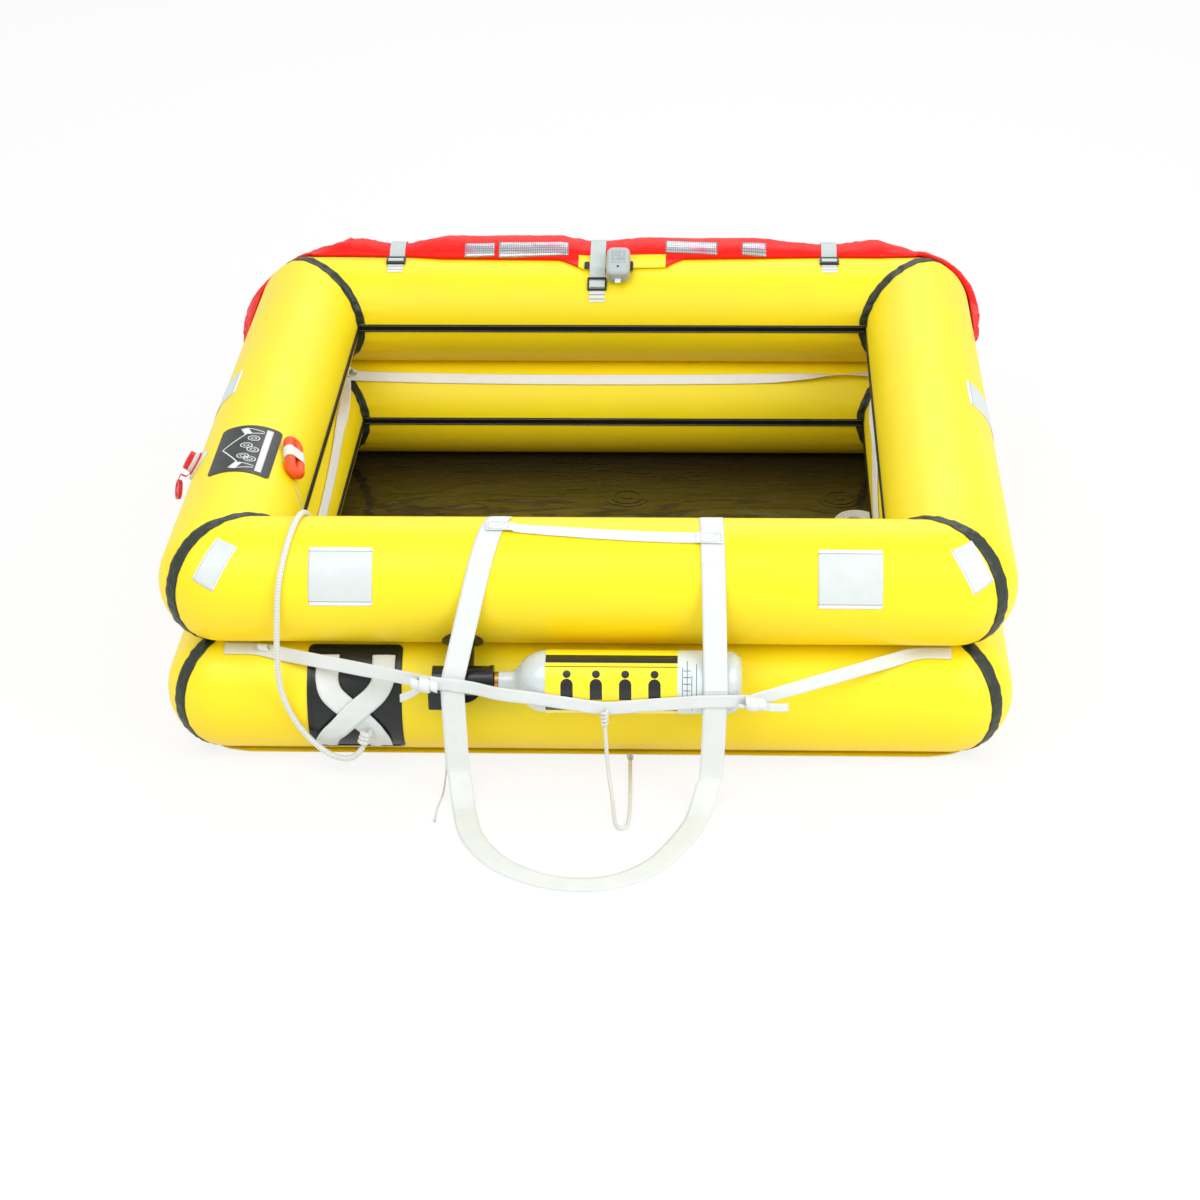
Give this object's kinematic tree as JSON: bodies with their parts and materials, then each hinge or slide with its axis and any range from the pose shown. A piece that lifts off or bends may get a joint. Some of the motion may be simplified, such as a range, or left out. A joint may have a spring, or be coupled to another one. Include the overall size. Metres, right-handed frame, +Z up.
{
  "type": "inflatable liferaft",
  "caption": "Open inflatable liferaft with stacked buoyancy tubes, boarding strap, lifelines, a side-mounted gas cylinder, a painter and a canopy stowed along the back.",
  "frame": {"origin": "middle of the floor sheet's underside", "axes": "+X to the right seen from the boarding side, -Y towards the boarding side, +Z up"},
  "size_m": [1.5757, 1.8954, 0.4675],
  "materials": {
    "tube": "satin, coated fabric",
    "floor_sheet": "glossy, coated fabric",
    "floor_discs": "satin",
    "corner_tape": "satin",
    "seam_strip": "matte",
    "reflective": "retro-reflective",
    "dark_patch": "satin",
    "sign_plate": "satin",
    "webbing": "woven",
    "cylinder_paint": "gloss",
    "label": "gloss",
    "sticker": "gloss",
    "brass": "satin",
    "head": "gloss",
    "flange": "satin",
    "steel": "brushed",
    "valve": "satin",
    "poppet": "satin",
    "cap": "satin",
    "canopy": "coated, satin",
    "canopy_strap": "woven",
    "buckle": "satin",
    "lamp": "satin",
    "tab": "satin",
    "quoit": "satin",
    "rope": "braided"
  },
  "bodies": {
    "raft": {"floor_sheet": "floor_sheet", "floor_discs": "floor_discs", "lower_tube": "tube", "upper_tube": "tube", "lower_corner_tapes": "corner_tape", "upper_corner_tapes": "corner_tape", "lower_seam_strip": "seam_strip", "upper_seam_strip": "seam_strip", "reflective_patches": "reflective", "tow_patch": "dark_patch", "sign_plate": "sign_plate", "boarding_strap": "webbing", "boarding_rung": "webbing", "outer_lifeline": "webbing", "inner_lifeline": "webbing", "tow_bridle": "webbing", "gas_cylinder": "cylinder_paint", "cylinder_label": "label", "data_sticker": "sticker", "coupling_ring": "brass", "operating_head": "head", "upper_inlet_flange": "flange", "lower_inlet_flange": "flange", "lever_pin": "steel", "upper_valve": "valve", "lower_valve": "valve", "canopy": "canopy", "canopy_straps": "canopy_strap", "strap_anchors": "webbing", "canopy_buckles": "buckle", "lamp_pad": "dark_patch", "lamp_case": "lamp", "quoit_band": "webbing", "painter_rope": "rope", "painter_hank": "rope", "middle_lanyard": "rope", "firing_cord": "rope", "quoit_line": "rope"},
    "lever": {"firing_lever": "steel"},
    "pin": {"piercing_pin": "steel"},
    "upper_valve_poppet": {"upper_poppet": "poppet"},
    "lower_valve_poppet": {"lower_poppet": "poppet"},
    "upper_cap": {"upper_valve_cap": "cap"},
    "lower_cap": {"lower_valve_cap": "cap"},
    "tab": {"lamp_tab": "tab"},
    "rescue_quoit": {"quoit": "quoit"}
  },
  "joints": [
    {"name": "lever_turn", "type": "hinge", "parent": "raft", "child": "lever", "pos_m": [-0.242, -0.7801, 0.18054], "axis": [0, 1, 0], "range_deg": [0, 25]},
    {"name": "pin_slide", "type": "slide", "parent": "raft", "child": "pin", "axis": [1, 0, 0], "range_m": [0, 0.0084]},
    {"name": "upper_poppet_slide", "type": "slide", "parent": "raft", "child": "upper_valve_poppet", "axis": [0.8572, 0, -0.515], "range_m": [0, 0.003], "stiffness_N_per_m": 200, "springref_m": -0.002},
    {"name": "lower_poppet_slide", "type": "slide", "parent": "raft", "child": "lower_valve_poppet", "axis": [0.8572, 0, -0.515], "range_m": [0, 0.003], "stiffness_N_per_m": 200, "springref_m": -0.002},
    {"name": "upper_cap_pull", "type": "slide", "parent": "raft", "child": "upper_cap", "axis": [-0.8572, 0, 0.515], "range_m": [0, 0.02]},
    {"name": "lower_cap_pull", "type": "slide", "parent": "raft", "child": "lower_cap", "axis": [-0.8572, 0, 0.515], "range_m": [0, 0.02]},
    {"name": "lamp_tab_pull", "type": "slide", "parent": "raft", "child": "tab", "axis": [0, -0.9205, -0.3907], "range_m": [0, 0.018]},
    {"name": "quoit_slide", "type": "slide", "parent": "raft", "child": "rescue_quoit", "axis": [-0.1604, 0.972, 0.172], "range_m": [0, 0.085]}
  ],
  "couplings": [
    {"joint": "pin_slide", "follows": "lever_turn", "m_per_rad": 0.019}
  ]
}
